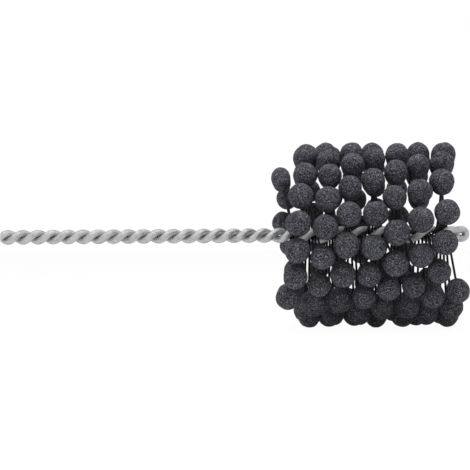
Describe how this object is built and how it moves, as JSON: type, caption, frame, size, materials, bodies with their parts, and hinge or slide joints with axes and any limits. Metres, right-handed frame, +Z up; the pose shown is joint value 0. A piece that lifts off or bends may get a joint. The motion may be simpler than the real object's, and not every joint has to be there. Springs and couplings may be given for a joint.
{
  "type": "flexible ball hone",
  "caption": "Flexible hone with abrasive balls on nylon filaments held in a twisted wire stem, for deburring and finishing the wall of a bore.",
  "frame": {"origin": "on the stem's axis at its shank end, where a chuck grips", "axes": "+X along the stem from the shank end to the folded tip, +Z up"},
  "size_m": [0.2032, 0.08, 0.0798],
  "materials": {
    "stem_wire": "drawn and galvanised, dull bright",
    "filaments": "black nylon",
    "balls": "bonded silicon carbide grit, matt"
  },
  "bodies": {
    "stem": {"stem_wire": "stem_wire", "filaments_01": "filaments", "filaments_02": "filaments", "filaments_03": "filaments", "filaments_04": "filaments", "filaments_05": "filaments", "filaments_06": "filaments", "filaments_07": "filaments", "filaments_08": "filaments"},
    "ball_line_01": {"balls_01": "balls"},
    "ball_line_02": {"balls_02": "balls"},
    "ball_line_03": {"balls_03": "balls"},
    "ball_line_04": {"balls_04": "balls"},
    "ball_line_05": {"balls_05": "balls"},
    "ball_line_06": {"balls_06": "balls"},
    "ball_line_07": {"balls_07": "balls"},
    "ball_line_08": {"balls_08": "balls"},
    "ball_line_09": {"balls_09": "balls"},
    "ball_line_10": {"balls_10": "balls"},
    "ball_line_11": {"balls_11": "balls"},
    "ball_line_12": {"balls_12": "balls"},
    "ball_line_13": {"balls_13": "balls"},
    "ball_line_14": {"balls_14": "balls"},
    "ball_line_15": {"balls_15": "balls"},
    "ball_line_16": {"balls_16": "balls"}
  },
  "joints": [
    {"name": "line_01_lean", "type": "hinge", "parent": "stem", "child": "ball_line_01", "pos_m": [0.158, -0.0085, 0], "axis": [1, 0, 0], "range_deg": [-45, 45], "stiffness_Nm_per_rad": 0.09, "deforming": ["filaments_01"]},
    {"name": "line_02_lean", "type": "hinge", "parent": "stem", "child": "ball_line_02", "pos_m": [0.158, -0.00785, 0.00325], "axis": [1, 0, 0], "range_deg": [-45, 45], "stiffness_Nm_per_rad": 0.09, "deforming": ["filaments_02"]},
    {"name": "line_03_lean", "type": "hinge", "parent": "stem", "child": "ball_line_03", "pos_m": [0.158, -0.00601, 0.00601], "axis": [1, 0, 0], "range_deg": [-45, 45], "stiffness_Nm_per_rad": 0.09, "deforming": ["filaments_03"]},
    {"name": "line_04_lean", "type": "hinge", "parent": "stem", "child": "ball_line_04", "pos_m": [0.158, -0.00325, 0.00785], "axis": [1, 0, 0], "range_deg": [-45, 45], "stiffness_Nm_per_rad": 0.09, "deforming": ["filaments_04"]},
    {"name": "line_05_lean", "type": "hinge", "parent": "stem", "child": "ball_line_05", "pos_m": [0.158, 0, 0.0085], "axis": [1, 0, 0], "range_deg": [-45, 45], "stiffness_Nm_per_rad": 0.09, "deforming": ["filaments_05"]},
    {"name": "line_06_lean", "type": "hinge", "parent": "stem", "child": "ball_line_06", "pos_m": [0.158, 0.00325, 0.00785], "axis": [1, 0, 0], "range_deg": [-45, 45], "stiffness_Nm_per_rad": 0.09, "deforming": ["filaments_06"]},
    {"name": "line_07_lean", "type": "hinge", "parent": "stem", "child": "ball_line_07", "pos_m": [0.158, 0.00601, 0.00601], "axis": [1, 0, 0], "range_deg": [-45, 45], "stiffness_Nm_per_rad": 0.09, "deforming": ["filaments_07"]},
    {"name": "line_08_lean", "type": "hinge", "parent": "stem", "child": "ball_line_08", "pos_m": [0.158, 0.00785, 0.00325], "axis": [1, 0, 0], "range_deg": [-45, 45], "stiffness_Nm_per_rad": 0.09, "deforming": ["filaments_08"]},
    {"name": "line_09_lean", "type": "hinge", "parent": "stem", "child": "ball_line_09", "pos_m": [0.158, 0.0085, 0], "axis": [1, 0, 0], "range_deg": [-45, 45], "stiffness_Nm_per_rad": 0.09, "deforming": ["filaments_01"]},
    {"name": "line_10_lean", "type": "hinge", "parent": "stem", "child": "ball_line_10", "pos_m": [0.158, 0.00785, -0.00325], "axis": [1, 0, 0], "range_deg": [-45, 45], "stiffness_Nm_per_rad": 0.09, "deforming": ["filaments_02"]},
    {"name": "line_11_lean", "type": "hinge", "parent": "stem", "child": "ball_line_11", "pos_m": [0.158, 0.00601, -0.00601], "axis": [1, 0, 0], "range_deg": [-45, 45], "stiffness_Nm_per_rad": 0.09, "deforming": ["filaments_03"]},
    {"name": "line_12_lean", "type": "hinge", "parent": "stem", "child": "ball_line_12", "pos_m": [0.158, 0.00325, -0.00785], "axis": [1, 0, 0], "range_deg": [-45, 45], "stiffness_Nm_per_rad": 0.09, "deforming": ["filaments_04"]},
    {"name": "line_13_lean", "type": "hinge", "parent": "stem", "child": "ball_line_13", "pos_m": [0.158, 0, -0.0085], "axis": [1, 0, 0], "range_deg": [-45, 45], "stiffness_Nm_per_rad": 0.09, "deforming": ["filaments_05"]},
    {"name": "line_14_lean", "type": "hinge", "parent": "stem", "child": "ball_line_14", "pos_m": [0.158, -0.00325, -0.00785], "axis": [1, 0, 0], "range_deg": [-45, 45], "stiffness_Nm_per_rad": 0.09, "deforming": ["filaments_06"]},
    {"name": "line_15_lean", "type": "hinge", "parent": "stem", "child": "ball_line_15", "pos_m": [0.158, -0.00601, -0.00601], "axis": [1, 0, 0], "range_deg": [-45, 45], "stiffness_Nm_per_rad": 0.09, "deforming": ["filaments_07"]},
    {"name": "line_16_lean", "type": "hinge", "parent": "stem", "child": "ball_line_16", "pos_m": [0.158, -0.00785, -0.00325], "axis": [1, 0, 0], "range_deg": [-45, 45], "stiffness_Nm_per_rad": 0.09, "deforming": ["filaments_08"]}
  ],
  "couplings": [
    {"joint": "line_02_lean", "follows": "line_01_lean", "ratio": 1},
    {"joint": "line_03_lean", "follows": "line_01_lean", "ratio": 1},
    {"joint": "line_04_lean", "follows": "line_01_lean", "ratio": 1},
    {"joint": "line_05_lean", "follows": "line_01_lean", "ratio": 1},
    {"joint": "line_06_lean", "follows": "line_01_lean", "ratio": 1},
    {"joint": "line_07_lean", "follows": "line_01_lean", "ratio": 1},
    {"joint": "line_08_lean", "follows": "line_01_lean", "ratio": 1},
    {"joint": "line_09_lean", "follows": "line_01_lean", "ratio": 1},
    {"joint": "line_10_lean", "follows": "line_01_lean", "ratio": 1},
    {"joint": "line_11_lean", "follows": "line_01_lean", "ratio": 1},
    {"joint": "line_12_lean", "follows": "line_01_lean", "ratio": 1},
    {"joint": "line_13_lean", "follows": "line_01_lean", "ratio": 1},
    {"joint": "line_14_lean", "follows": "line_01_lean", "ratio": 1},
    {"joint": "line_15_lean", "follows": "line_01_lean", "ratio": 1},
    {"joint": "line_16_lean", "follows": "line_01_lean", "ratio": 1}
  ]
}
